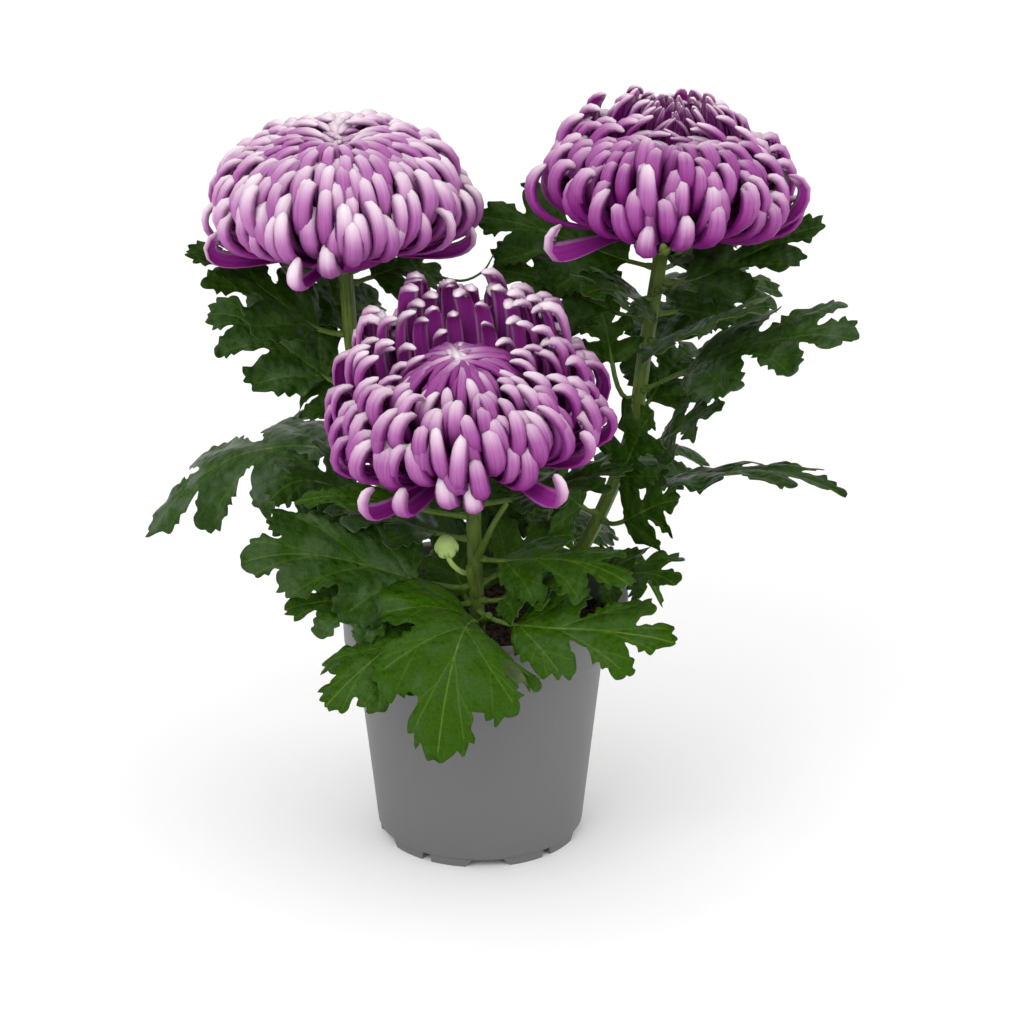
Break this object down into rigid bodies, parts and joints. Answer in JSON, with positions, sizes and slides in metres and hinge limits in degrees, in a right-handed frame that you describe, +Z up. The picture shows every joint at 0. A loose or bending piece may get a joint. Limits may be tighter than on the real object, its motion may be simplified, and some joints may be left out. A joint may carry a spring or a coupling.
{
  "type": "pot chrysanthemum",
  "caption": "Pot chrysanthemum: large incurved lilac blooms on leafy stems with deeply lobed dark leaves, in a round grey nursery pot of soil.",
  "frame": {"origin": "where the pot's axis meets the surface that the pot stands on", "axes": "+Z up along the pot's axis, -Y toward the front, the side of the nearest bloom, and +X to the right as seen from the front"},
  "size_m": [0.3304, 0.23, 0.3563],
  "materials": {
    "pot": "mid grey moulded polypropylene, satin-matt",
    "soil": "dark moist crumbly potting soil",
    "stem": "ribbed yellow-green living stem",
    "leaf": "thin dark green living leaf, satin, with a greyish sheen and paler veins",
    "petal": "soft living petal, pale lilac on the back and deep magenta inside",
    "bud": "pale green unopened flower bud"
  },
  "bodies": {
    "root": {"bloom_front": "petal", "bloom_left": "petal", "bloom_right": "petal", "leaf_front_01": "leaf", "leaf_front_02": "leaf", "leaf_front_03": "leaf", "leaf_front_04": "leaf", "leaf_front_05": "leaf", "leaf_front_06": "leaf", "leaf_front_07": "leaf", "leaf_front_08": "leaf", "leaf_front_09": "leaf", "leaf_front_10": "leaf", "leaf_front_11": "leaf", "leaf_front_12": "leaf", "leaf_left_01": "leaf", "leaf_left_02": "leaf", "leaf_left_03": "leaf", "leaf_left_04": "leaf", "leaf_left_05": "leaf", "leaf_left_06": "leaf", "leaf_left_07": "leaf", "leaf_left_08": "leaf", "leaf_left_09": "leaf", "leaf_left_10": "leaf", "leaf_left_11": "leaf", "leaf_left_12": "leaf", "leaf_left_13": "leaf", "leaf_right_01": "leaf", "leaf_right_02": "leaf", "leaf_right_03": "leaf", "leaf_right_04": "leaf", "leaf_right_05": "leaf", "leaf_right_06": "leaf", "leaf_right_07": "leaf", "leaf_right_08": "leaf", "leaf_right_09": "leaf", "leaf_right_10": "leaf", "leaf_right_11": "leaf", "leaf_right_12": "leaf", "leaf_right_13": "leaf", "leaf_right_14": "leaf", "leaf_right_15": "leaf", "leaf_right_16": "leaf", "leaf_right_17": "leaf", "leaf_right_18": "leaf", "leaf_right_19": "leaf", "leaf_right_20": "leaf", "leaf_right_21": "leaf", "leaf_right_22": "leaf", "pot": "pot", "side_bud": "bud", "soil": "soil", "stem_front": "stem", "stem_left": "stem", "stem_right": "stem"}
  },
  "joints": []
}
